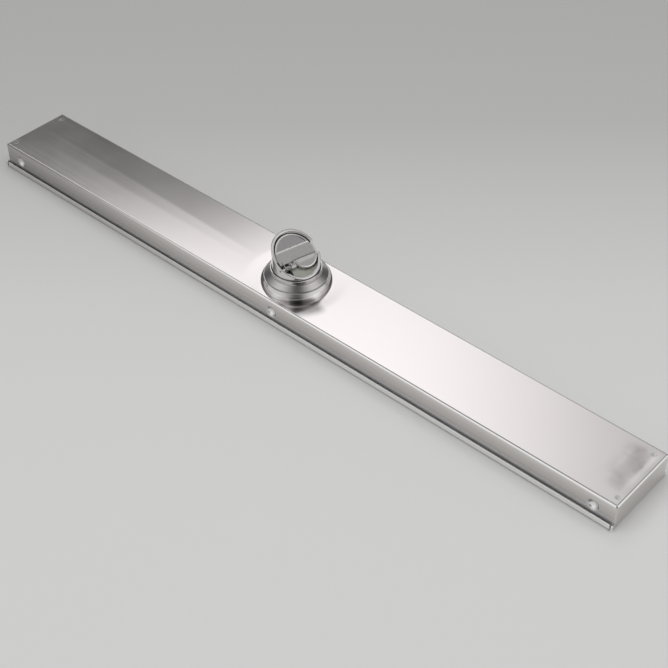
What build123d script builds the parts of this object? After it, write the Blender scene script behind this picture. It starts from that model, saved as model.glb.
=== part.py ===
from build123d import *
from math import cos, pi, radians, sin, sqrt, tan
import os

os.makedirs("parts", exist_ok=True)

# Linear shower drain, lying with its outlet up: z = 0 is the open rim, +X runs along the tray.
# The outlet's axis is the Z axis. Heights named "above floor" start at the tray's outer face.

# Tray, folded from one sheet
tray_length = 700.0
tray_width = 71.0
tray_height = 25.0
sheet = 1.0
bend_radius = 1.8  # outside of the folds
corner_radius = 2.0  # outside of the welded and ground upright corners
relief_radius = 0.6  # hole left where the folds meet at each upper corner
relief_drop = 1.1  # its height below the tray's face
relief_rise = 0.8  # slope of its axis

# Open hem along both long rims, rolled outward and back up
hem_height = 5.7
hem_roll = 1.8  # width inside the roll
hem_lean = 3.0  # of its leg back to the wall
hem_edge = 0.25
hem_end_gap = 1.3  # the hem stops this far short of the end wall's ear

# Dimples pressed into the long walls to carry the cover
dimple_end = 20.0  # from the tray's end to the outer dimples
dimple_middle = 2.5  # the middle pair sits a little off centre
dimple_height = 12.6
dimple_radius = 4.9
dimple_depth = 2.6
dimple_shoulder = 2.2  # radius rolling the dent into the wall

# Shallow marks that the spot welder left at the plate's corners
mark_radius = 1.9
mark_depth = 0.28
mark_inset = 8.2  # from the long sides
mark_near = 5.5  # from the tray's ends, on the -Y side
mark_far = 8.7

# Outlet neck, drawn from thicker sheet and welded into the tray's hole
neck_sheet = 1.2
weld_gap = 0.02
basin_step = 8.4  # from the spigot out to the basin's wall
basin_wall = 2.6  # height at which the wall leans in, but for its rounding
basin_round = 9.5
shoulder_step = 2.7  # from the basin's wall in to the shoulder's edge
shoulder_height = 7.3
groove_depth = 0.7
groove_width = 1.1
cone_height = 11.73
spigot_radius = 22.6
spigot_height = 15.6
neck_round = 0.6
lip_round = 0.35

# Self-closing valve core, dropped into the neck
tube_clearance = 0.4
tube_wall = 2.5
collar_gap = 0.4  # from the shoulder's inside to the collar
collar_thickness = 2.4
collar_chamfer = 0.6
collar_depth = 3.0  # its face lies this far under the tray's outer face
mouth_height = 29.0  # centre of the slanted mouth above floor
mouth_angle = 30.0
mouth_turn = 165.0  # direction in which the mouth rises
rim_round = 0.9
fit_clearance = 0.25
press_clearance = 0.02

# Slanted seat inside the mouth and what stands on it; depths are square to the mouth's plane
seat_depth = 5.2
seat_thickness = 1.6
seat_width = 2.2
seat_root = 0.6  # how far the seat reaches into the tube's wall
gasket_thickness = 1.5
gasket_clearance = 0.5
plate_thickness = 1.2
flap_clearance = 0.7
bead_width = 1.5
bead_height = 1.3
bead_round = 0.6
band_height = 0.7
band_low = -3.4  # edges of the flap's flat band, along the slope's plan
band_high = 5.9
hub_radius = 11.3  # of the half-moon hub's top
hub_flare = 2.1  # its wall spreads by this much down to the gasket
hub_height = 2.9  # above the flap's plate
hub_middle = -5.7  # along the hinge
knuckle_start = 5.6
knuckle_end = 9.8
knuckle_radius = 2.6
hub_round = 1.0
boss_clearance = 1.1  # between the boss's lip and the seat
boss_lip = 0.8
boss_lip_thickness = 0.6

# Hinge
pin_radius = 1.0
pin_offset = -6.9  # plan distance of the pin from the tube's axis
pin_depth = 2.1  # under the mouth's plane
pin_inset = 0.35  # ends short of the tube's outer face
pin_chamfer = 0.25
running_clearance = 0.05
spring_wire = 0.7
spring_turns = 4
spring_pitch = 1.05
spring_clearance = 0.45  # between pin and coil
spring_lean = 9.0  # of the leg on the flap
spring_foot = 60.0  # of the leg on the shelf
spring_tip_gap = 0.3
pocket_skin = 0.9  # wall left outside the spring
pocket_low = -12.6
pocket_high = -1.2
pocket_depth = 7.4
side_notch_depth = 5.0
side_notch_low = -5.2
side_notch_high = 5.2

# Rubber ring round the tube and seal under the collar
ring_section = 1.8
ring_height = 13.4
ring_squeeze = 0.04
ring_play = 0.2  # between ring and groove on each side
seal_clearance = 0.1

# Hair strainer, pressed dish standing in the collar
strainer_sheet = 0.8
strainer_rim = 4.0  # width of the flange that lies on the collar
strainer_depth = 3.6
strainer_hole_radius = 1.5
strainer_ring_pitch = 5.4
strainer_ring_count = 2
strainer_ring_holes = 6  # in the first ring, and as many more in each next one
strainer_clearance = 0.5
strainer_wall_slope = 1.2

# Cover, a shallow folded tray for a tile, resting on the dimples
cover_sheet = 1.0
cover_gap = 1.4
cover_bend = 1.6
cover_corner = 2.4

# Sizes that follow from the ones above
floor = tray_height
half_length = tray_length / 2
half_width = tray_width / 2
hem_inside = hem_roll / 2
hem_outside = hem_inside + sheet
hem_out = hem_inside + hem_outside
hem_length = tray_length - 2 * (sheet + hem_end_gap)
dimple_spacing = half_length - dimple_end
basin_radius = spigot_radius + basin_step
shoulder_radius = basin_radius - shoulder_step
neck_bore = spigot_radius - neck_sheet
tube_radius = neck_bore - tube_clearance
tube_bore = tube_radius - tube_wall
collar_radius = shoulder_radius - neck_sheet - collar_gap
mouth_z = floor + mouth_height
slope = tan(radians(mouth_angle))
flap_radius = tube_bore - flap_clearance
boss_radius = tube_bore - seat_width - boss_clearance - boss_lip
strainer_flange = tube_bore + strainer_rim
gasket_top = -seat_depth + gasket_thickness
plate_top = gasket_top + plate_thickness
pin_depth_to_seat = seat_depth - pin_depth
coil_radius = pin_radius + spring_clearance + spring_wire / 2
dimple_sphere = (dimple_radius**2 + dimple_depth**2) / (2 * dimple_depth)
bump_gap = half_width - sheet - dimple_depth
big = 4 * tray_height + tube_radius

mouth_plane = Plane(
    origin=(0, 0, mouth_z),
    x_dir=(cos(radians(mouth_angle)), 0, sin(radians(mouth_angle))),
    z_dir=(-sin(radians(mouth_angle)), 0, cos(radians(mouth_angle))),
)


def box_between(low, high):
    size = [b - a for a, b in zip(low, high)]
    return Pos(*low) * Box(*size, align=(Align.MIN, Align.MIN, Align.MIN))


def upright(radius, low, high):
    return Pos(0, 0, low) * Cylinder(radius, high - low, align=(Align.CENTER, Align.CENTER, Align.MIN))


def slanted_slab(low, high):
    """Layer between two depths square to the mouth's plane."""
    layer = box_between((-big, -big, low), (big, big, high))
    return mouth_plane.location * layer


def facing_mouth(solid):
    """The flat face that lies highest along the mouth's normal."""
    flat = solid.faces().filter_by(GeomType.PLANE)
    return flat.sort_by(Axis((0, 0, 0), mouth_plane.z_dir))[-1]


def plan_box(u_low, u_high, v_low, v_high):
    """Upright prism over a rectangle of the plan, u up the slope and v along the hinge."""
    return box_between((u_low, v_low, -big), (u_high, v_high, 2 * big))


def plan_disc(radius):
    return upright(radius, -big, 2 * big)


def hinge_point(v):
    """Point of the pin's axis, sunk under the mouth's plane at its plan distance."""
    drop = pin_depth / cos(radians(mouth_angle))
    return Vector(pin_offset, v, mouth_z + pin_offset * slope - drop)


def hinge_cylinder(radius, v_low, v_high):
    """Cylinder about the hinge's axis."""
    place = Plane(origin=hinge_point(v_low), z_dir=(0, 1, 0))
    return place.location * Cylinder(
        radius, v_high - v_low, align=(Align.CENTER, Align.CENTER, Align.MIN)
    )


def turned(solid):
    """From the valve's own frame to its turn in the tray."""
    return Rot(0, 0, mouth_turn) * solid


def revolved(points):
    outline = make_face(Polyline(*[(x, 0, z) for x, z in points], close=True))
    return revolve(outline, Axis.Z, 360)


# Tray


def dimple_places():
    for side in (-1, 1):
        for x in (-dimple_spacing, dimple_middle, dimple_spacing):
            centre = side * (half_width + dimple_sphere - dimple_depth)
            yield x, side, centre


def channel_body():
    shell = Box(tray_length, tray_width, tray_height, align=(Align.CENTER, Align.CENTER, Align.MIN))
    shell = fillet(shell.edges().filter_by(Axis.Z), corner_radius)
    shell = fillet(shell.faces().sort_by(Axis.Z)[-1].edges(), bend_radius)
    inner = Box(
        tray_length - 2 * sheet,
        tray_width - 2 * sheet,
        tray_height - sheet,
        align=(Align.CENTER, Align.CENTER, Align.MIN),
    )
    inner = fillet(inner.edges().filter_by(Axis.Z), corner_radius - sheet)
    inner = fillet(inner.faces().sort_by(Axis.Z)[-1].edges(), bend_radius - sheet)
    shell -= inner

    # dents: a bump inside each long wall, hollowed from outside
    for x, side, centre in dimple_places():
        inside_wall = box_between(
            (x - tray_height, min(side * bump_gap, side * half_width), sheet),
            (x + tray_height, max(side * bump_gap, side * half_width), tray_height - sheet),
        )
        ball = Pos(x, centre, dimple_height) * Sphere(dimple_sphere + sheet)
        shell += ball & Pos(0, -side * sheet, 0) * inside_wall
    for x, side, centre in dimple_places():
        shell -= Pos(x, centre, dimple_height) * Sphere(dimple_sphere)
        rim = Vector(x, side * half_width, dimple_height)
        edge = shell.edges().filter_by(GeomType.CIRCLE).sort_by_distance(rim)[0]
        shell = fillet(edge, dimple_shoulder)

    # hole that the outlet neck is welded into
    shell -= upright(basin_radius + weld_gap, 0, 2 * tray_height)

    # welder's marks
    mark_sphere = (mark_radius**2 + mark_depth**2) / (2 * mark_depth)
    for end in (-1, 1):
        for side, inset in ((-1, mark_near), (1, mark_far)):
            place = Pos(
                end * (half_length - inset),
                side * (half_width - mark_inset),
                tray_height + mark_sphere - mark_depth,
            )
            shell -= place * Sphere(mark_sphere)

    # relief holes at the four upper corners
    reach = corner_radius * (1 - 1 / sqrt(2))
    for sx in (-1, 1):
        for sy in (-1, 1):
            corner = (sx * (half_length - reach), sy * (half_width - reach), tray_height - relief_drop)
            aim = Plane(origin=corner, z_dir=(sx, sy, relief_rise))
            shell -= aim.location * Cylinder(relief_radius, 3 * corner_radius)

    for side in (-1, 1):
        room = Box(hem_length, 2 * sheet, hem_outside, align=(Align.CENTER, Align.CENTER, Align.MIN))
        shell -= Pos(0, side * half_width, 0) * room
        shell += long_hem(side)
        for end in (-1, 1):
            shell += end_ear(end, side)
    return shell


def long_hem(side):
    """The rim's edge rolled outward, its leg leaning back to the wall."""
    middle = hem_inside + sheet / 2
    leg_length = (hem_height - hem_outside - middle * sin(radians(hem_lean))) / cos(radians(hem_lean))
    leg = Rectangle(sheet, leg_length, align=(Align.CENTER, Align.MIN))
    leg = fillet(leg.vertices().sort_by(Axis.Y)[-2:], hem_edge)
    stem = Rectangle(sheet, hem_height - hem_outside, align=(Align.CENTER, Align.MIN))
    roll = Circle(hem_outside) - Circle(hem_inside)
    below = Pos(0, -hem_outside) * Rectangle(4 * hem_outside, 2 * hem_outside)
    ahead = Pos(hem_outside, -hem_outside) * Rectangle(2 * hem_outside, 2 * hem_outside)
    profile = roll & (below + Rot(0, 0, hem_lean) * ahead)
    profile += Pos(-middle, 0) * stem
    profile += Rot(0, 0, hem_lean) * Pos(middle, 0) * leg
    place = Plane(
        origin=(-side * hem_length / 2, side * (half_width + hem_inside), hem_outside),
        x_dir=(0, side, 0),
        z_dir=(side, 0, 0),
    )
    return extrude(place * profile, hem_length)


def end_ear(end, side):
    """The end wall's lower corner, wide enough to cover the hem's end."""
    ear = Rectangle(2 * corner_radius + hem_out, hem_height, align=(Align.MIN, Align.MIN))
    outer_top = ear.vertices().sort_by(Axis.Y)[-2:].sort_by(Axis.X)[-1]
    ear = fillet(outer_top, sheet)
    start = half_width - 2 * corner_radius
    place = Plane(
        origin=(end * (half_length - sheet), side * start, 0),
        x_dir=(0, side, 0),
        z_dir=(side, 0, 0),
    )
    return extrude(place * ear, sheet * end * side)


# Outlet neck


def neck_cone(r, inward):
    """Height of the neck's cone at a radius, measured this far inside its outer face."""
    lean = (cone_height - shoulder_height - groove_width) / (shoulder_radius - groove_depth - spigot_radius)
    return cone_height + (spigot_radius - r) * lean - inward * sqrt(1 + lean**2)


def outlet_neck():
    """Stepped cup of drawn sheet: wide basin, rolled shoulder, groove, cone and spigot."""
    waist = shoulder_radius - groove_depth
    outline = FilletPolyline(
        (basin_radius, -sheet),
        (basin_radius, basin_wall),
        (shoulder_radius, shoulder_height),
        (waist, shoulder_height),
        (waist, shoulder_height + groove_width),
        (spigot_radius, cone_height),
        (spigot_radius, spigot_height),
        (neck_bore, spigot_height),
        (neck_bore, neck_cone(neck_bore, neck_sheet)),
        (waist - neck_sheet, neck_cone(waist - neck_sheet, neck_sheet)),
        (shoulder_radius - neck_sheet, shoulder_height - neck_sheet),
        (basin_radius - neck_sheet, basin_wall),
        (basin_radius - neck_sheet, -sheet),
        radius=(
            basin_round,
            neck_round / 2,
            neck_round / 2,
            neck_round / 2,
            neck_round,
            lip_round,
            lip_round,
            neck_round,
            neck_round,
            neck_round,
            basin_round - neck_sheet,
        ),
    )
    foot = Line(outline @ 1, outline @ 0)
    face = make_face(outline.edges() + foot.edges())
    neck = revolve(Plane.XZ * face, Axis.Z, 360)
    return Pos(0, 0, floor) * neck


# Valve core, in its own frame: +X is up the mouth's slope, Y is the hinge


def core_body():
    low = floor + collar_depth
    top = mouth_z + tube_radius * slope + tube_wall
    body = upright(collar_radius, low, low + collar_thickness) + upright(tube_radius, low, top)
    body = chamfer(body.faces().sort_by(Axis.Z)[0].edges(), collar_chamfer)
    body -= plan_disc(tube_bore)
    body -= slanted_slab(0, big)
    body = fillet(facing_mouth(body).edges(), rim_round)

    # groove for the rubber ring
    groove_floor = neck_bore - ring_section - ring_squeeze
    middle = floor + ring_height
    half_groove = ring_section / 2 + ring_play
    groove = upright(collar_radius, middle - half_groove, middle + half_groove)
    body -= groove - plan_disc(groove_floor)

    # slanted seat, left open on the short side where the flap swings in
    inside = plan_disc(tube_bore + seat_root)
    seat = slanted_slab(-seat_depth - seat_thickness, -seat_depth) & inside
    pin_along = pin_offset / cos(radians(mouth_angle)) - pin_depth * slope
    swept = pin_depth_to_seat + gasket_clearance
    past_pin = mouth_plane.location * box_between((pin_along + swept, -big, -big), (big, big, big))
    keep = past_pin - plan_disc(tube_bore - seat_width)
    shelf = slanted_slab(-pocket_depth - seat_thickness, -pocket_depth) & inside
    body += seat & keep
    body += shelf & plan_box(-big, pocket_high, knuckle_end + flap_clearance, big)

    # pocket for the spring, with a thin skin outside, and a notch in the opposite wall
    pocket = plan_disc(tube_radius - pocket_skin) & slanted_slab(-pocket_depth, big)
    pocket &= plan_box(pocket_low, pocket_high, knuckle_end, big)
    body -= pocket - plan_disc(tube_bore)
    notch = slanted_slab(-side_notch_depth, big) & plan_box(side_notch_low, side_notch_high, -big, 0)
    body -= notch

    body -= hinge_cylinder(pin_radius + press_clearance, -big, big)
    return body


def hinge_pin():
    reach = sqrt(tube_radius**2 - pin_offset**2) - pin_inset
    pin = hinge_cylinder(pin_radius, -reach, reach)
    return chamfer(pin.edges().filter_by(GeomType.CIRCLE), pin_chamfer)


def flap():
    disc = plan_disc(flap_radius)
    plate = slanted_slab(gasket_top, plate_top) & disc & plan_box(band_low, big, -big, big)

    # raised bead round the dished part, and its straight edge
    rim = plan_disc(flap_radius) - plan_disc(flap_radius - bead_width)
    straight = plan_box(band_high, band_high + bead_width, -big, big) & disc
    bead = (rim & plan_box(band_high, big, -big, big)) + straight
    bead &= slanted_slab(plate_top, plate_top + bead_height)
    bead = fillet(facing_mouth(bead).edges(), bead_round)

    # flat band across the disc
    band = slanted_slab(plate_top, plate_top + band_height) & disc
    band &= plan_box(band_low, band_high, -big, big)

    # half-moon hub that the pin runs through
    middle = (band_low / cos(radians(mouth_angle)), hub_middle, gasket_top)
    moon = Cone(
        hub_radius + hub_flare,
        hub_radius,
        plate_thickness + hub_height,
        align=(Align.CENTER, Align.CENTER, Align.MIN),
    )
    moon = mouth_plane.location * Pos(*middle) * moon
    moon &= plan_box(-big, band_low, -big, big)
    moon = fillet(facing_mouth(moon).edges(), hub_round)
    moon = (moon & disc) + knuckle()

    # boss under the plate that holds the gasket
    boss = slanted_slab(-seat_depth, gasket_top) & plan_disc(boss_radius)
    boss += slanted_slab(-seat_depth - boss_lip_thickness, -seat_depth) & plan_disc(boss_radius + boss_lip)
    boss &= plan_box(band_low, big, -big, big)

    solid = plate + bead + band + moon + boss
    solid -= hinge_cylinder(pin_radius + running_clearance, -big, big)
    return solid


def knuckle():
    """Barrel beside the hub, standing on the gasket's side of the plate."""
    barrel = hinge_cylinder(knuckle_radius, knuckle_start, knuckle_end) & slanted_slab(gasket_top, big)
    web = slanted_slab(gasket_top, plate_top) & plan_box(pin_offset, band_low, knuckle_start, knuckle_end)
    return barrel + web


def flap_gasket():
    gasket = slanted_slab(-seat_depth, gasket_top) & plan_disc(tube_bore - gasket_clearance)
    gasket -= plan_disc(boss_radius) & plan_box(band_low, big, -big, big)
    gasket -= plan_box(-big, pocket_high, knuckle_end, big)
    return gasket


def torsion_spring():
    """Coil about the pin; one leg lies on the flap's band, the other stands on the shelf."""
    turns = spring_turns + (spring_lean + spring_foot) / 360
    coil = Helix(spring_pitch, spring_pitch * turns, coil_radius)
    section = Circle(spring_wire / 2)
    wire = sweep(Plane(origin=coil @ 0, z_dir=coil % 0) * section, path=coil)
    half = spring_wire / 2

    # upper leg leans down to the band, lower leg leans out to the shelf
    upper_drop = -pin_depth + coil_radius * cos(radians(spring_lean)) - (plate_top + band_height + half)
    upper = upper_drop / sin(radians(spring_lean)) - spring_tip_gap
    lower_drop = pocket_depth - pin_depth + coil_radius * cos(radians(spring_foot)) - half
    lower = lower_drop / sin(radians(spring_foot)) - spring_tip_gap
    for end, sign, length in ((1, 1, upper), (0, -1, lower)):
        tangent = coil % end
        straight = Vector(tangent.X, tangent.Y, 0) * sign
        wire += extrude(Plane(origin=coil @ end, z_dir=straight) * section, length)
    start = knuckle_end + spring_tip_gap + half
    along_pin = Plane(origin=hinge_point(start), x_dir=mouth_plane.z_dir, z_dir=(0, 1, 0))
    return along_pin.location * Rot(0, 0, -spring_foot) * wire


def ring_seal():
    middle = floor + ring_height
    return Pos(0, 0, middle) * Torus(neck_bore - ring_section / 2 - ring_squeeze / 2, ring_section / 2)


def collar_seal():
    """Rubber wedge between the core's collar and the neck's cone."""
    top = collar_depth + collar_thickness + seal_clearance / 2
    inner = tube_radius + fit_clearance
    outer = collar_radius - neck_sheet
    nose = inner + neck_sheet
    inward = neck_sheet + seal_clearance
    points = [
        (inner, floor + top),
        (outer, floor + top),
        (outer, floor + neck_cone(outer, inward)),
        (nose, floor + neck_cone(nose, inward)),
        (inner, floor + neck_cone(nose, inward)),
    ]
    return revolved(points)


def hair_strainer():
    face = floor + collar_depth
    wall = tube_bore - strainer_clearance
    base = wall - strainer_wall_slope
    points = [
        (0, face + strainer_depth),
        (base, face + strainer_depth),
        (wall, face),
        (strainer_flange, face),
        (strainer_flange, face - strainer_sheet),
        (wall - strainer_sheet, face - strainer_sheet),
        (base - strainer_sheet, face + strainer_depth - strainer_sheet),
        (0, face + strainer_depth - strainer_sheet),
    ]
    dish = revolved(points)
    hole = upright(strainer_hole_radius, face, face + 2 * strainer_depth)
    dish -= hole
    for ring in range(1, strainer_ring_count + 1):
        count = strainer_ring_holes * ring
        for k in range(count):
            a = 2 * pi * k / count
            out = strainer_ring_pitch * ring
            dish -= Pos(out * cos(a), out * sin(a), 0) * hole
    return dish


def cover_tray():
    wide = tray_width - 2 * (sheet + cover_gap)
    long = tray_length - 2 * (sheet + cover_gap)
    # its base rests where its edge meets the bumps' lower flank
    bump = dimple_sphere + sheet
    off = half_width + dimple_sphere - dimple_depth - wide / 2
    tall = dimple_height - sqrt(bump**2 - off**2)
    outer = Box(long, wide, tall, align=(Align.CENTER, Align.CENTER, Align.MIN))
    outer = fillet(outer.edges().filter_by(Axis.Z), cover_corner)
    outer = fillet(outer.faces().sort_by(Axis.Z)[-1].edges(), cover_bend)
    inner = Box(
        long - 2 * cover_sheet,
        wide - 2 * cover_sheet,
        tall - cover_sheet,
        align=(Align.CENTER, Align.CENTER, Align.MIN),
    )
    inner = fillet(inner.edges().filter_by(Axis.Z), cover_corner - cover_sheet)
    inner = fillet(inner.faces().sort_by(Axis.Z)[-1].edges(), cover_bend - cover_sheet)
    return outer - inner


pieces = {
    "channel_body": channel_body(),
    "outlet_neck": outlet_neck(),
    "core_body": turned(core_body()),
    "hinge_pin": turned(hinge_pin()),
    "flap": turned(flap()),
    "flap_gasket": turned(flap_gasket()),
    "torsion_spring": turned(torsion_spring()),
    "ring_seal": ring_seal(),
    "collar_seal": collar_seal(),
    "hair_strainer": hair_strainer(),
    "cover_tray": cover_tray(),
}

for name, solid in pieces.items():
    export_step(solid, f"parts/{name}.step")
    print(name, len(solid.solids()), round(solid.volume, 1))
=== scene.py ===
import math

import bpy
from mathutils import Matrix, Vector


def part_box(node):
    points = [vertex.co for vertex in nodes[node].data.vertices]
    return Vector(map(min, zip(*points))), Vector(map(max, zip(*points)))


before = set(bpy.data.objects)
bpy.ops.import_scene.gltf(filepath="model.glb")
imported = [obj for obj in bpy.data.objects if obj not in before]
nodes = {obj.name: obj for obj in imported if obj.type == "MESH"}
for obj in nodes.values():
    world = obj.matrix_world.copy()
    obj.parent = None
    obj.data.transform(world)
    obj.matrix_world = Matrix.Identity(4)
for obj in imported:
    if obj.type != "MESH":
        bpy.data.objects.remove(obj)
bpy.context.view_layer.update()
scene = bpy.context.scene
print("frame loaded:", sorted(nodes))

# camera

cameraSettings = {
    "place": (0.6471, -0.6822, 0.8096),
    "tilt": 47.94,  # degrees from looking straight down
    "heading": 41.52,
    "lens": 76.48,
    "nearest": 0.01,
}


def makeCamera(settings):
    data = bpy.data.cameras.new("photoCamera")
    data.lens = settings["lens"]
    data.clip_start = settings["nearest"]
    camera = bpy.data.objects.new("photoCamera", data)
    camera.location = settings["place"]
    camera.rotation_euler = (math.radians(settings["tilt"]), 0, math.radians(settings["heading"]))
    scene.collection.objects.link(camera)
    scene.camera = camera


makeCamera(cameraSettings)
scene.view_settings.view_transform = "Standard"
print("camera placed")

# shader maths


class Flow:  # an output socket; sums with it add Math nodes to its tree
    def __init__(self, tree, socket=None):
        self.tree = tree
        self.socket = socket

    def node(self, kind, settings=None, inputs=None, output=0):
        made = self.tree.nodes.new(kind)
        for name, value in (settings or {}).items():
            if name == "stops":
                self.setStops(made.color_ramp.elements, value)
            else:
                setattr(made, name, value)
        for name, value in (inputs or {}).items():
            if isinstance(value, Flow):
                self.tree.links.new(value.socket, made.inputs[name])
            else:
                made.inputs[name].default_value = value
        return Flow(self.tree, made.outputs[output] if len(made.outputs) else None)

    def setStops(self, elements, stops):
        while len(elements) < len(stops):
            elements.new(0.5)
        for element, (place, level) in zip(elements, stops):
            element.position = place
            element.color = (level, level, level, 1)

    def maths(self, operation, *values):
        return self.node("ShaderNodeMath", {"operation": operation}, dict(enumerate(values)))

    def __add__(self, other):
        return self.maths("ADD", self, other)

    def __radd__(self, other):
        return self.maths("ADD", other, self)

    def __sub__(self, other):
        return self.maths("SUBTRACT", self, other)

    def __rsub__(self, other):
        return self.maths("SUBTRACT", other, self)

    def __mul__(self, other):
        return self.maths("MULTIPLY", self, other)

    def __rmul__(self, other):
        return self.maths("MULTIPLY", other, self)

    def __truediv__(self, other):
        return self.maths("DIVIDE", self, other)

    def __rtruediv__(self, other):
        return self.maths("DIVIDE", other, self)

    def __abs__(self):
        return self.maths("ABSOLUTE", self)

    def root(self):
        return self.maths("SQRT", self)

    def orMore(self, other):  # the greater of the two
        return self.maths("MAXIMUM", self, other)

    def step(self, start, end):  # 0 at start, 1 at end and beyond, smooth between; end may be lower
        ends = {"Value": self, "From Min": start, "From Max": end}
        return self.node("ShaderNodeMapRange", {"interpolation_type": "SMOOTHSTEP"}, ends)

    def near(self, centre, reach):  # 1 at centre, 0 from reach on
        return abs(self - centre).step(reach, 0)

    def rising(self, least):  # from least to 1 while this mask goes from 0 to 1
        return least + (1 - least) * self

    def falling(self, least):  # from 1 to least
        return 1 - (1 - least) * self

    def parts(self):
        split = self.node("ShaderNodeSeparateXYZ", inputs={0: self}).socket.node
        return [Flow(self.tree, out) for out in split.outputs]

    def noise(self, cells, stretch=(1, 1, 1), detail=2, seed=0):  # cells a metre
        place = self.node("ShaderNodeMapping", inputs={"Vector": self, "Scale": stretch})
        options = {"Vector": place, "Scale": cells, "Detail": detail, "W": seed}
        return self.node("ShaderNodeTexNoise", {"noise_dimensions": "4D"}, options)

    def scaled(self, factor):  # a colour by a number
        return self.node("ShaderNodeVectorMath", {"operation": "SCALE"}, {0: self, "Scale": factor})

    def blend(self, first, second):  # colours, with this mask as the factor
        inputs = {0: self, 6: first, 7: second}
        return self.node("ShaderNodeMix", {"data_type": "RGBA"}, inputs, output=2)


def newMaterial(name):
    material = bpy.data.materials.new(name)
    material.use_nodes = True
    tree = material.node_tree
    tree.nodes.clear()
    return material, Flow(tree)


def placeOf(flow):
    return flow.node("ShaderNodeTexCoord", output="Object")


def finishMaterial(flow, constants, varying):
    shader = flow.node("ShaderNodeBsdfPrincipled", inputs={**constants, **varying})
    flow.node("ShaderNodeOutputMaterial", inputs={"Surface": shader})


def bumpOf(flow, height, distance, normal=None):
    inputs = {"Height": height, "Distance": distance, "Strength": 1}
    if normal is not None:
        inputs["Normal"] = normal
    return flow.node("ShaderNodeBump", inputs=inputs)


def shade(level, tint=(1, 1, 1)):
    return tuple(level * t for t in tint) + (1,)


def reachOf(first, second):  # distance of a point from an axis, from its two offsets
    return (first * first + second * second).root()


def towards(first, second, degrees):  # how far a point lies in this direction
    turn = math.radians(degrees)
    return first * math.cos(turn) + second * math.sin(turn)


# satin sheet of the tray and the cover

sheetSettings = {
    "dark": shade(0.68, (1, 0.95, 0.945)),
    "pale": shade(0.76, (1, 0.955, 0.95)),
    "roughness": 0.15,
    "grain": (3, 900, 900),  # noise cells a metre: long along the tray
    "grainShare": 0.3,  # of the change in colour; the rest is the cloud's
    "grainRough": 0.03,
    "grainBump": 0.000004,
    "cloud": 22,
    "cloudRough": 0.05,
    "wave": 9,
    "waveStretch": (0.6, 1, 1),
    "waveBump": 0.00012,
}

# the tray's marks together with its painted light and shade, in metres; a pair is the start and the end of
# a soft edge
trayMarksAndPaintedLight = {
    "hemReach": 0.0028,  # of each hem, out from the long wall
    "wall": ((0.0351, 0.0353), (0.0358, 0.0356)),  # soft edges on both sides of a long wall's face
    "shadeBands": (  # painted shade: each band starts at a line across the plate and darkens everything beyond it, by these shares
        {"edge": -0.0078, "slant": 0, "blur": 0.003, "shares": (0, 0.1, 0.19, 0.17, 0.12, 0.06, 0)},
        {"edge": 0.0078, "slant": -0.02, "blur": 0.0022, "shares": (0, 0.12, 0.17, 0.24, 0.29, 0.2, 0)},
    ),
    "shadeBandEnds": (-0.345, -0.045),
    # painted shade in a blotch before the right end's fold
    "paintedEndShade": {
        "from": (0.314, 0.342),
        "to": (0.344, 0.3405),
        "low": (-0.028, -0.004),
        "high": (0.034, 0.022),
        "cells": 55,
        "stretch": (1, 1, 0.01),
        "blotch": (0.4, 0.66),
        "even": 0.2,  # share of the painted shade between its blotches
        "far": (0, 0.015),
        "near": 0.6,  # share of the painted shade on the near half
        "share": 0.5,
    },
    "endValley": {
        "from": 0.327,
        "to": 0.341,
        "rise": 0.3465,
        "risen": 0.3,
        "low": (-0.024, -0.006),
        "high": (0.033, 0.02),
        "middle": (0.015, 0.014),  # where it is deepest, and the reach of that
        "beside": 0.65,
        "deep": 0.00036,
    },
    # painted shade on the plate beside the weld, on one side only
    "paintedWeldShade": {
        "turn": -35,  # degrees
        "around": (0.925, 0.985),  # cosines of the angle from there
        "reach": (0.053, 0.042),
        "above": (0.0245, 0.0248),
        "share": 0.55,
    },
    "weldDish": {"reach": (0.048, 0.031), "deep": 0.0003},
    # painted highlights on the folds, the hems' lips and the dimples' bottoms, dimmer to the left
    "highlight": {
        "level": 0.97,
        "edge": (0.0009, 0.0005),  # in from the tray's sides and ends
        "down": (0.0022, 0.0016),  # from the plate's face
        "lip": (-0.0004, -0.0007),  # out from the long walls
        "lipHigh": (0.0067, 0.0062),
        "dimples": (-0.33, 0.0025, 0.33),
        "dimpleHeight": 0.0126,
        "dimpleReach": (0.0042, 0.0027),
        "dimpleIn": (0.004, 0.003),
        "dimmed": (-0.28, 0.08),  # left of this most of the painted highlight fades
        "dimmedLevel": 0.2,
    },
    "sideTone": {  # share of light left on the near wall
        "base": 0.71,
        "gains": ((0.007, 0.015, 0.16), (0.016, 0.022, 0.14)),  # from one height to another, and how much
        "left": (-0.08, -0.34),
        "leftLevel": 0.73,
        "top": (0.0243, 0.0235),
        "foldIn": (0.0337, 0.0345),
        "foldLow": (0.0235, 0.024),
        "foldLevel": 0.4,
    },
    # matt wall above the hems, its colour also lightened as painted light over the gap's shade
    "hemMattAndPaintedLight": {"low": (0.004, 0.005), "high": (0.0105, 0.0075), "roughness": 0.45, "level": 0.93},
    "spots": {  # left by the welder: along, across and level of grey
        "places": (
            (0.3445, -0.0273, 0.9),
            (0.3413, 0.0273, 0.9),
            (-0.3445, -0.0273, 0.34),
            (-0.3413, 0.0273, 0.34),
        ),
        "reach": (0.0028, 0.0018),
        "roughness": 0.32,
    },
}


def paintedBandShade(flow, place, marks):  # 1 on the unshaded sheet, less in the painted shade of the bands across the plate
    x, y, z = place.parts()
    low, high = marks["shadeBandEnds"]
    unshaded = 1
    for band in marks["shadeBands"]:
        count = len(band["shares"]) - 1
        stops = [(k / count, share) for k, share in enumerate(band["shares"])]
        ramp = flow.node("ShaderNodeValToRGB", {"stops": stops}, {0: (x - low) / (high - low)})
        edge = band["edge"] + (x - low) * band["slant"]
        beyond = (y - edge).step(-band["blur"], band["blur"])
        unshaded = unshaded * (1 - beyond * ramp)
    return unshaded


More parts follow.
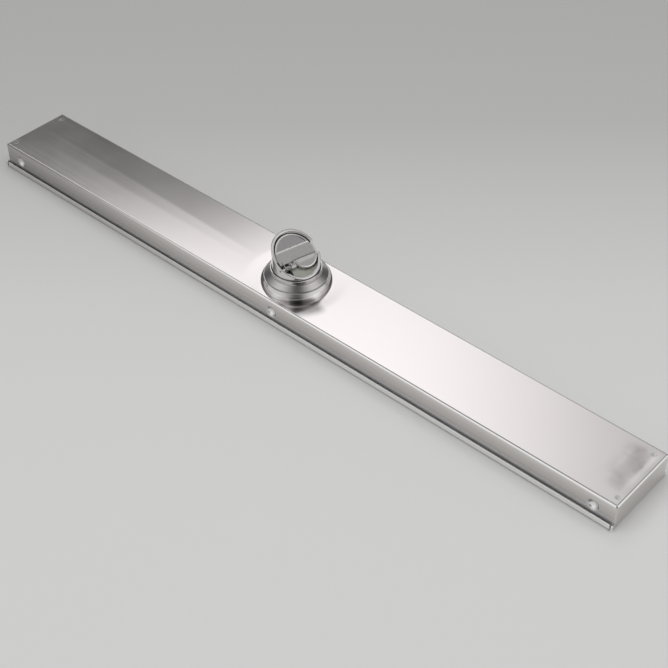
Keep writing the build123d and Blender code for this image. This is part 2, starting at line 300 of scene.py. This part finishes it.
def paintedEndShade(place, endShade):  # share of light lost in the painted shade blotch before the right end's fold
    x, y, z = place.parts()
    inside = x.step(*endShade["from"]) * x.step(*endShade["to"]) * y.step(*endShade["low"]) * y.step(*endShade["high"])
    blotch = place.noise(endShade["cells"], endShade["stretch"], detail=3, seed=11).step(*endShade["blotch"])
    far = y.step(*endShade["far"])
    return inside * blotch.rising(endShade["even"]) * far.rising(endShade["near"]) * endShade["share"]


def endValley(place, valley):  # height of the dip before the right end's fold
    x, y, z = place.parts()
    dip = x.step(valley["from"], valley["to"]) - valley["risen"] * x.step(valley["to"], valley["rise"])
    middle = y.near(*valley["middle"]).rising(valley["beside"])
    return dip * y.step(*valley["low"]) * y.step(*valley["high"]) * middle * -valley["deep"]


def paintedWeldShade(place, tint):  # share of light lost in the painted shade on one side of the weld
    x, y, z = place.parts()
    out = reachOf(x, y)
    around = (towards(x, y, tint["turn"]) / out).step(*tint["around"])
    return around * out.step(*tint["reach"]) * z.step(*tint["above"]) * tint["share"]


def weldDish(place, dish):  # the plate sinks a little towards the weld
    x, y, z = place.parts()
    return reachOf(x, y).step(*dish["reach"]) * -dish["deep"]


def paintedHighlights(place, marks):  # 1 where highlights are painted: on the folds, the hems' lips and the dimples' bottoms
    x, y, z = place.parts()
    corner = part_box("channel_body")[1]
    highlight = marks["highlight"]
    fromSide = (corner.y - marks["hemReach"]) - abs(y)
    fromEnd = corner.x - abs(x)
    fold = fromSide.step(*highlight["edge"]).orMore(fromEnd.step(*highlight["edge"]))
    fold = fold * (corner.z - z).step(*highlight["down"])
    lip = fromSide.step(*highlight["lip"]) * z.step(*highlight["lipHigh"])
    shine = fold.orMore(lip)
    for middle in highlight["dimples"]:
        dimple = reachOf(x - middle, z - highlight["dimpleHeight"]).step(*highlight["dimpleReach"])
        shine = shine.orMore(dimple * fromSide.step(*highlight["dimpleIn"]))
    return shine * x.step(*highlight["dimmed"]).rising(highlight["dimmedLevel"])


def onWall(across, marks):  # 1 on the face of a long wall, by the distance from the middle
    inner, outer = marks["wall"]
    return across.step(*inner) * across.step(*outer)


def sideTone(place, marks):  # share of light left on the near wall: less low down and to the left
    x, y, z = place.parts()
    tone = marks["sideTone"]
    level = tone["base"]
    for start, end, gain in tone["gains"]:
        level = level + gain * z.step(start, end)
    left = x.step(*tone["left"])
    across = y * -1
    wall = onWall(across, marks) * z.step(*tone["top"])
    fold = across.step(*tone["foldIn"]) * z.step(*tone["foldLow"])
    return wall.falling(level * left.falling(tone["leftLevel"])) * (fold * left).falling(tone["foldLevel"])


def hemMattAndPaintedLight(place, marks):  # 1 low on the long walls beside the hems' lips, where the wall is made matt and its colour is lightened as painted light over the hem gap's shade
    x, y, z = place.parts()
    hem = marks["hemMattAndPaintedLight"]
    return onWall(abs(y), marks) * z.step(*hem["low"]) * z.step(*hem["high"])


def weldSpots(place, spots, colour):  # colour with the welder's marks, and 1 on them
    x, y, z = place.parts()
    mask = 0
    for along, across, level in spots["places"]:
        spot = reachOf(x - along, y - across).step(*spots["reach"])
        colour = spot.blend(colour, shade(level))
        mask = mask + spot
    return colour, mask


def satinSheet(name, settings, marks=None):
    material, flow = newMaterial(name)
    place = placeOf(flow)
    grain = place.noise(1, settings["grain"], detail=3)
    cloud = place.noise(settings["cloud"], detail=3, seed=4)
    wave = place.noise(settings["wave"], settings["waveStretch"], detail=1, seed=7)
    mix = grain * settings["grainShare"] + cloud * (1 - settings["grainShare"])
    colour = mix.blend(settings["dark"], settings["pale"])
    roughness = settings["roughness"] + (grain - 0.5) * settings["grainRough"]
    roughness = roughness + (cloud - 0.5) * settings["cloudRough"]
    normal = bumpOf(flow, wave, settings["waveBump"])
    if marks:
        colour = colour.scaled(paintedBandShade(flow, place, marks) * (1 - paintedEndShade(place, marks["paintedEndShade"])))
        colour = colour.scaled(1 - paintedWeldShade(place, marks["paintedWeldShade"]))
        colour = paintedHighlights(place, marks).blend(colour, shade(marks["highlight"]["level"]))
        hem = hemMattAndPaintedLight(place, marks)
        colour = hem.blend(colour, shade(marks["hemMattAndPaintedLight"]["level"])).scaled(sideTone(place, marks))
        colour, spots = weldSpots(place, marks["spots"], colour)
        roughness = roughness + spots * marks["spots"]["roughness"] + hem * marks["hemMattAndPaintedLight"]["roughness"]
        shape = endValley(place, marks["endValley"]) + weldDish(place, marks["weldDish"])
        normal = bumpOf(flow, shape, 1, normal=normal)
    normal = bumpOf(flow, grain, settings["grainBump"], normal=normal)
    finishMaterial(flow, {"Metallic": 1}, {"Base Color": colour, "Roughness": roughness, "Normal": normal})
    return material


# drawn and spun metal of the neck, the valve and the small parts

turnedSettings = {
    "dark": shade(0.6, (1, 0.96, 0.955)),
    "pale": shade(0.72, (1, 0.965, 0.96)),
    "roughness": 0.13,
    "rings": 1400,
    "ringShare": 0.4,  # of the change in colour; the rest is the cloud's
    "ringRough": 0.04,
    "ringBump": 0.000003,
    "cloud": 60,
    "cloudRough": 0.08,
}

valveSettings = {
    **turnedSettings,
    "dark": shade(0.7, (1, 0.975, 0.97)),
    "pale": shade(0.82, (1, 0.98, 0.975)),
}

# the neck's painted light: painted shade in its folds, and on its lower wall a painted dark streak at the
# front with painted highlights on the flanks
neckPaintedLight = {
    "folds": (  # height, half width and share of light left, as painted shade in the folds
        (0.03285, 0.0007, 0.3),
        (0.0368, 0.0004, 0.45),
        (0.0254, 0.0005, 0.6),
    ),
    "wallTop": (0.0305, 0.028),
    "front": -48.5,  # degrees
    "frontShade": (0.975, 0.995),  # cosines of the angle from the front, as in the next two: painted dark streak
    # painted highlight on the flanks either side of the front streak
    "flank": (0.68, 0.82),
    "flankEnd": (0.975, 0.82),
    "flankLevel": 0.97,
    "frontShadeLevel": 0.5,
}


# painted light on the neck: highlights on the flanks, a dark streak at the front and shade in the folds
def paintNeckLight(colour, place, marks):
    x, y, z = place.parts()
    front = towards(x, y, marks["front"]) / reachOf(x, y)
    low = z.step(*marks["wallTop"])
    flank = low * front.step(*marks["flank"]) * front.step(*marks["flankEnd"])
    colour = flank.blend(colour, shade(marks["flankLevel"]))
    colour = colour.scaled((low * front.step(*marks["frontShade"])).falling(marks["frontShadeLevel"]))
    for height, reach, left in marks["folds"]:
        colour = colour.scaled(z.near(height, reach).falling(left))
    return colour


def turnedMetal(name, settings, marks=None):
    material, flow = newMaterial(name)
    place = placeOf(flow)
    x, y, z = place.parts()
    around = flow.node("ShaderNodeCombineXYZ", inputs={0: reachOf(x, y), 1: z, 2: 0})
    rings = around.noise(settings["rings"])
    cloud = place.noise(settings["cloud"], detail=3, seed=2)
    mix = rings * settings["ringShare"] + cloud * (1 - settings["ringShare"])
    colour = mix.blend(settings["dark"], settings["pale"])
    if marks:
        colour = paintNeckLight(colour, place, marks)
    roughness = settings["roughness"] + (rings - 0.5) * settings["ringRough"]
    roughness = roughness + (cloud - 0.5) * settings["cloudRough"]
    normal = bumpOf(flow, rings, settings["ringBump"])
    finishMaterial(flow, {"Metallic": 1}, {"Base Color": colour, "Roughness": roughness, "Normal": normal})
    return material


# satin casting of the flap: smoother bead and chord with a painted highlight, dark dished half, painted
# highlight and shade on the hub

flapSettings = {
    "turn": 165,  # degrees: the way the mouth rises
    "slope": 30,
    "dish": shade(0.46, (1, 0.95, 0.97)),
    "satin": shade(0.54, (1, 0.965, 0.96)),
    # painted highlight on the raised bead, chord and hub edge
    "raisedHighlight": shade(0.8, (1, 0.965, 0.955)),
    "rough": 0.34,
    "smooth": 0.16,
    "chord": (0.0055, 0.0059),  # start of the raised chord, in plan up the slope
    "dished": (0.0072, 0.0075),  # and its end, where the dish starts
    "rim": (0.0164, 0.0161),  # inside of the raised bead
    "hub": {  # the half-moon
        "up": -0.0034,
        "beside": -0.0057,
        "half": (-0.0034, -0.004),
        "knuckle": (0.0056, 0.0053),  # it ends where the knuckle starts
        "edge": (0.0104, 0.01085),  # from its middle
        # painted highlight along the hub's ridge, and painted shade along its chord
        "ridge": {"up": (-0.0066, 0.0028), "within": (0.0103, 0.0083), "lighter": 0.4},
        "chord": {"up": (-0.0044, 0.0012), "within": (0.0118, 0.0113), "darker": 0.65},
    },
    "mottle": 420,
    "mottleTone": (0.86, 0.28),
    "mottleRough": 0.1,
    "mottleBump": 0.00006,
    "grain": 2600,
    "grainBump": 0.000008,
}


def flapCasting(name, settings):
    material, flow = newMaterial(name)
    place = placeOf(flow)
    x, y, z = place.parts()
    up = towards(x, y, settings["turn"])
    across = towards(y, x * -1, settings["turn"])
    dished = up.step(*settings["dished"]) * reachOf(x, y).step(*settings["rim"])
    raised = up.step(*settings["chord"]) * (1 - dished)
    hub = settings["hub"]
    fromHub = reachOf((up - hub["up"]) / math.cos(math.radians(settings["slope"])), across - hub["beside"])
    edge = fromHub.step(*hub["edge"]) * up.step(*hub["half"]) * across.step(*hub["knuckle"])
    raised = raised.orMore(edge)
    ridge, chord = hub["ridge"], hub["chord"]
    # painted highlight on the hub's ridge less painted shade at its chord
    reliefLight = up.near(*ridge["up"]) * fromHub.step(*ridge["within"]) * ridge["lighter"]
    reliefLight = reliefLight - up.near(*chord["up"]) * fromHub.step(*chord["within"]) * chord["darker"]
    mottle = place.noise(settings["mottle"], detail=4, seed=5)
    grain = place.noise(settings["grain"], seed=6)
    least, more = settings["mottleTone"]
    satin = dished.blend(settings["satin"], settings["dish"]).scaled((least + more * mottle) * (1 + reliefLight))
    colour = raised.blend(satin, settings["raisedHighlight"])
    roughness = settings["rough"] + (settings["smooth"] - settings["rough"]) * raised
    roughness = roughness + (mottle - 0.5) * settings["mottleRough"]
    normal = bumpOf(flow, grain, settings["grainBump"])
    normal = bumpOf(flow, mottle, settings["mottleBump"], normal=normal)
    finishMaterial(flow, {"Metallic": 1}, {"Base Color": colour, "Roughness": roughness, "Normal": normal})
    return material


# rubber of the gasket and the two seals

gasketSettings = {
    "dark": shade(0.22, (0.96, 1, 0.88)),
    "pale": shade(0.37, (0.96, 1, 0.88)),
    "roughness": 0.5,
    "cloud": 120,
    "cloudShare": 0.7,  # of the change in colour; the rest is the grain's
    "cloudRough": 0.2,
    "grain": 1800,
    "grainBump": 0.00002,
    "gloss": 0.4,
}

sealSettings = {**gasketSettings, "dark": shade(0.025), "pale": shade(0.06), "roughness": 0.6}


def rubber(name, settings):
    material, flow = newMaterial(name)
    place = placeOf(flow)
    grain = place.noise(settings["grain"], detail=3)
    cloud = place.noise(settings["cloud"], seed=3)
    mix = cloud * settings["cloudShare"] + grain * (1 - settings["cloudShare"])
    colour = mix.blend(settings["dark"], settings["pale"])
    roughness = settings["roughness"] + (cloud - 0.5) * settings["cloudRough"]
    normal = bumpOf(flow, grain, settings["grainBump"])
    constants = {"Specular IOR Level": settings["gloss"]}
    finishMaterial(flow, constants, {"Base Color": colour, "Roughness": roughness, "Normal": normal})
    return material


def dress(node, material):
    mesh = nodes[node].data
    mesh.materials.clear()
    mesh.materials.append(material)


dress("channel_body", satinSheet("traySheet", sheetSettings, trayMarksAndPaintedLight))
dress("cover_tray", satinSheet("coverSheet", sheetSettings))
dress("outlet_neck", turnedMetal("neckMetal", turnedSettings, neckPaintedLight))
dress("core_body", turnedMetal("valveMetal", valveSettings))
dress("flap", flapCasting("flapMetal", flapSettings))
dress("hinge_pin", turnedMetal("pinMetal", turnedSettings))
dress("torsion_spring", turnedMetal("springMetal", turnedSettings))
dress("hair_strainer", turnedMetal("strainerMetal", turnedSettings))
dress("flap_gasket", rubber("gasketRubber", gasketSettings))
dress("ring_seal", rubber("ringRubber", sealSettings))
dress("collar_seal", rubber("collarRubber", sealSettings))
print("materials given to", len(nodes), "nodes")

# floor, its colour darkening away from the camera as painted light falloff

floorSettings = {
    "reach": 16.0,
    "colour": (1, 1, 0.978, 1),
    "roughness": 0.9,
    "gloss": 0.1,
    "low": -0.4,  # metres along the camera's heading, where the first stop lies
    "high": 0.5,
    # painted light falloff: the floor's colour darkens with distance from the camera
    "stops": (
        (0, 0.557),
        (0.17, 0.552),
        (0.31, 0.545),
        (0.45, 0.521),
        (0.61, 0.457),
        (0.76, 0.391),
        (0.89, 0.38),
        (1, 0.37),
    ),
}


def makeFloor(settings):
    material, flow = newMaterial("floorPaper")
    x, y, z = placeOf(flow).parts()
    ahead = towards(y, x * -1, cameraSettings["heading"])
    low, high = settings["low"], settings["high"]
    level = flow.node("ShaderNodeValToRGB", {"stops": settings["stops"]}, {0: (ahead - low) / (high - low)})
    colour = level.blend(shade(0), settings["colour"])
    constants = {"Roughness": settings["roughness"], "Specular IOR Level": settings["gloss"]}
    finishMaterial(flow, constants, {"Base Color": colour})
    bpy.ops.mesh.primitive_plane_add(size=2 * settings["reach"])
    floor = bpy.context.object
    floor.name = "floor"
    floor.data.materials.append(material)


makeFloor(floorSettings)
print("floor laid")

# studio light: soft screens round the table that the metal mirrors, and a fill lamp that it doesn't

# edges are parts of a direction: across is to the camera's right, ahead is past the object, up is its sine
lightSettings = {
    "room": 0.16,
    "behind": {"level": 0.09, "ahead": (0.2, 0.45), "width": (0.55, 0.38)},
    "backScreen": {
        "level": 1.72,
        "low": (0.57, 0.63),
        "high": (0.84, 0.76),
        "fade": (0.02, 0.31),
        "rightLevel": 0.3,
    },
    "sideScreens": {
        "level": 1.02,
        "across": (0.05, 0.85),  # from the dark gap behind the camera out to the side
        "shift": 0.03,
        "lean": 0.4,  # the gap narrows upwards
        "ahead": (0.62, -0.15),
        "left": (0, -0.5),
        "leftLevel": 0.84,
    },
    "horizon": {"level": 0.2, "up": (0.3, 0), "ahead": (0.2, 0.6)},
    "lowScreen": {"level": 0.5, "up": (0.5, 0.42), "ahead": (0.4, 0.6), "width": (0.55, 0.3)},
    "roof": {"level": 0.8, "up": (0.93, 0.965), "ahead": (-0.17, 0.02)},
}

fillSettings = {"energy": 60, "height": 2.6, "size": 3.2}


def screenLight(across, ahead, up, settings):
    sideways = abs(across - settings["sideScreens"]["shift"])

    behind = settings["behind"]
    behindMask = ahead.step(*behind["ahead"]) * sideways.step(*behind["width"])
    level = settings["room"] + (behind["level"] - settings["room"]) * behindMask

    horizon = settings["horizon"]
    level = level + horizon["level"] * up.step(*horizon["up"]) * ahead.step(*horizon["ahead"])

    back = settings["backScreen"]
    backMask = behindMask * up.step(*back["low"]) * up.step(*back["high"])
    level = level + backMask * across.step(*back["fade"]).falling(back["rightLevel"]) * back["level"]

    side = settings["sideScreens"]
    sideMask = (sideways * (1 + side["lean"] * up * up)).step(*side["across"]) * ahead.step(*side["ahead"])
    level = level + sideMask * across.step(*side["left"]).falling(side["leftLevel"]) * side["level"]

    low = settings["lowScreen"]
    lowMask = ahead.step(*low["ahead"]) * sideways.step(*low["width"]) * up.step(*low["up"])
    level = level + lowMask * low["level"]

    roof = settings["roof"]
    return level + ahead.step(*roof["ahead"]) * up.step(*roof["up"]) * roof["level"]


def makeScreens(settings):
    world = bpy.data.worlds.new("studio")
    scene.world = world
    world.use_nodes = True
    world.node_tree.nodes.clear()
    flow = Flow(world.node_tree)
    x, y, up = flow.node("ShaderNodeTexCoord", output="Generated").parts()
    across = towards(x, y, cameraSettings["heading"])
    ahead = towards(y, x * -1, cameraSettings["heading"])
    level = screenLight(across, ahead, up, settings)
    background = flow.node("ShaderNodeBackground", inputs={"Strength": level})
    flow.node("ShaderNodeOutputWorld", inputs={"Surface": background})


def makeFill(settings):
    data = bpy.data.lights.new("fill", "AREA")
    data.energy = settings["energy"]
    data.size = settings["size"]
    lamp = bpy.data.objects.new("fill", data)
    lamp.location = (0, 0, settings["height"])
    lamp.visible_glossy = False
    scene.collection.objects.link(lamp)


makeScreens(lightSettings)
makeFill(fillSettings)
print("studio lit")
